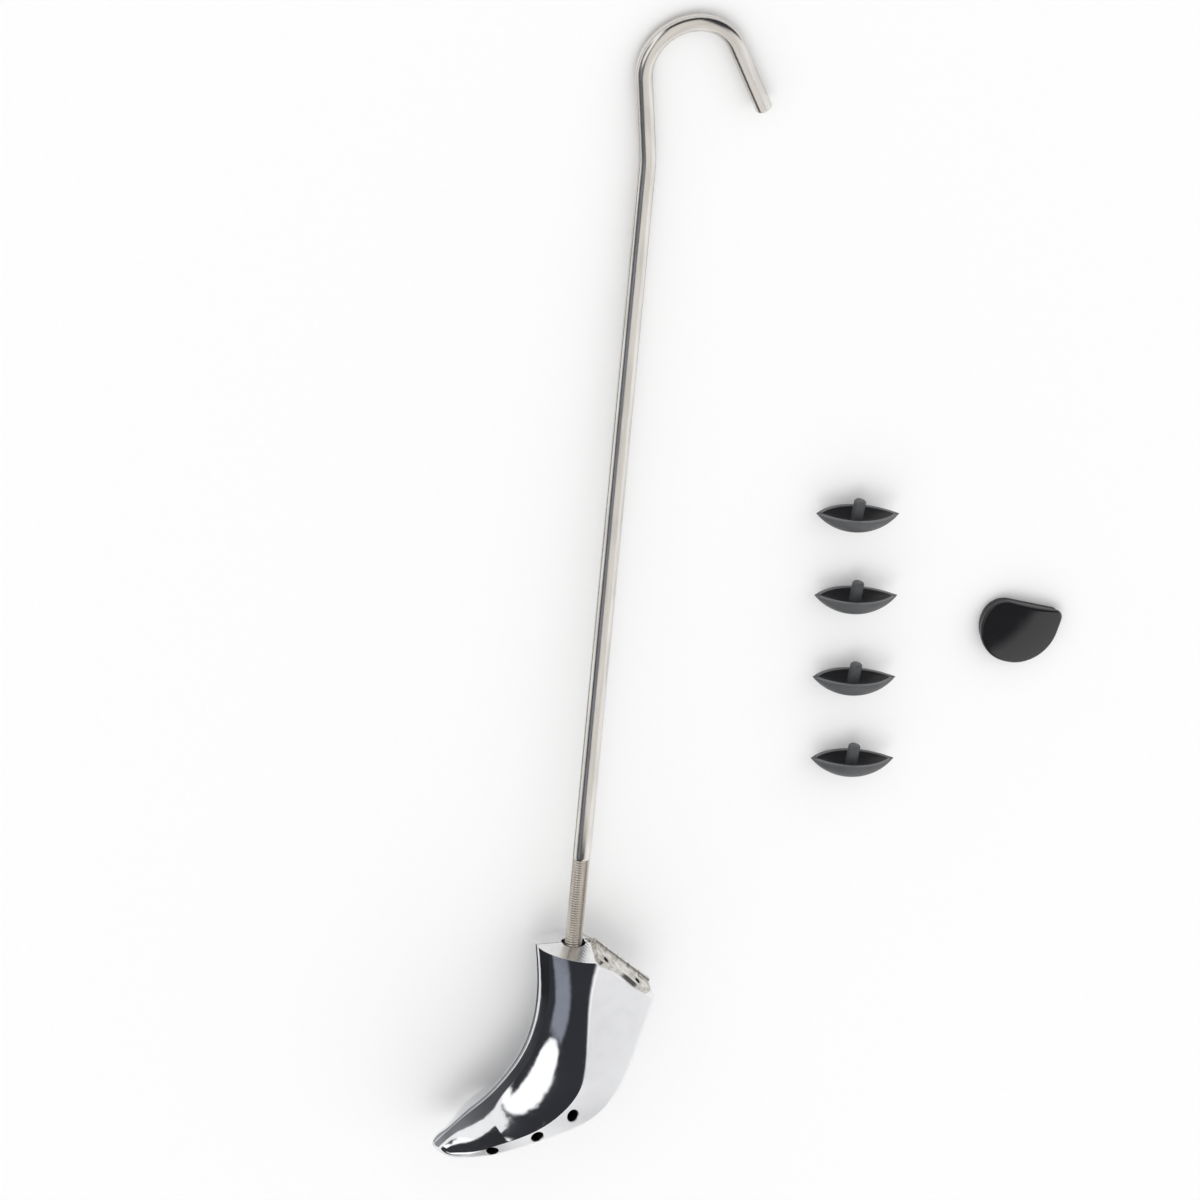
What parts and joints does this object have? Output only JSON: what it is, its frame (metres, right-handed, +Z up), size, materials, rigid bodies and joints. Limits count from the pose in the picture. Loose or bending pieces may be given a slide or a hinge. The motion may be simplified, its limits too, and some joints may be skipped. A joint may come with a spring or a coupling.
{
  "type": "shoe stretcher",
  "caption": "Split aluminium shoe last for high heels, hinged at the heel and spread by a threaded hook rod through a nut and cone, with loose pegged plugs and a D-shaped pad.",
  "frame": {"origin": "middle of the whole layout's footprint, on the table it lies on", "axes": "+Y along the rod from the last to the hook, +X from the toe side to the loose pieces, +Z up from the table"},
  "size_m": [0.3514, 0.6982, 0.0618],
  "materials": {
    "polished_aluminium": "cast, mirror polished",
    "hinge_plate": "pressed steel, yellowish plating",
    "screw_steel": "turned steel",
    "nut_brass": "turned",
    "rod_plating": "drawn steel bar, satin nickel plating",
    "hard_steel": "turned and hardened",
    "plug_plastic": "moulded, fine matte",
    "pad_gloss": "moulded, glossy",
    "pad_rubber": "moulded, matte"
  },
  "bodies": {
    "far_half": {"far_last_half": "polished_aluminium", "far_hinge_leaf": "hinge_plate", "far_leaf_screws": "screw_steel", "hinge_pin": "screw_steel"},
    "near_half": {"near_last_half": "polished_aluminium", "near_hinge_leaf": "hinge_plate", "near_leaf_screws": "screw_steel"},
    "nut": {"trunnion_nut": "nut_brass"},
    "cone": {"spreader_cone": "hard_steel", "thrust_washer": "hard_steel", "end_washer": "hard_steel"},
    "rod": {"rod_shank": "rod_plating", "rod_hook": "rod_plating", "retaining_ring": "hard_steel"},
    "plug_1": {"plug_1": "plug_plastic"},
    "plug_2": {"plug_2": "plug_plastic"},
    "plug_3": {"plug_3": "plug_plastic"},
    "plug_4": {"plug_4": "plug_plastic"},
    "pad": {"pad_base": "pad_rubber", "pad_cover": "pad_gloss"}
  },
  "joints": [
    {"name": "near_half_open", "type": "hinge", "parent": "far_half", "child": "near_half", "pos_m": [-0.07846, -0.23635, 0.02748], "axis": [-0.7716, 0.6356, -0.0246], "range_deg": [0, 6.77]},
    {"name": "nut_follow", "type": "hinge", "parent": "far_half", "child": "nut", "pos_m": [-0.07846, -0.23635, 0.02748], "axis": [-0.7716, 0.6356, -0.0246], "range_deg": [0, 3.38]},
    {"name": "cone_travel", "type": "slide", "parent": "nut", "child": "cone", "axis": [0, -0.9993, 0.0387], "range_m": [0, 0.0195]},
    {"name": "rod_turn", "type": "hinge", "parent": "cone", "child": "rod", "pos_m": [-0.1036, -0.22395, 0.027], "axis": [0, -0.9993, 0.0387], "range_deg": [0, 4680]},
    {"name": "plug_1_lift", "type": "slide", "parent": "far_half", "child": "plug_1", "axis": [0, 0, 1], "range_m": [0, 0.04]},
    {"name": "plug_2_lift", "type": "slide", "parent": "far_half", "child": "plug_2", "axis": [0, 0, 1], "range_m": [0, 0.04]},
    {"name": "plug_3_lift", "type": "slide", "parent": "far_half", "child": "plug_3", "axis": [0, 0, 1], "range_m": [0, 0.04]},
    {"name": "plug_4_lift", "type": "slide", "parent": "far_half", "child": "plug_4", "axis": [0, 0, 1], "range_m": [0, 0.04]},
    {"name": "pad_lift", "type": "slide", "parent": "far_half", "child": "pad", "axis": [0, 0, 1], "range_m": [0, 0.04]}
  ],
  "couplings": [
    {"joint": "near_half_open", "follows": "rod_turn", "ratio": 0.0014459},
    {"joint": "nut_follow", "follows": "rod_turn", "ratio": 0.00072296},
    {"joint": "cone_travel", "follows": "rod_turn", "m_per_rad": 0.00023873}
  ]
}
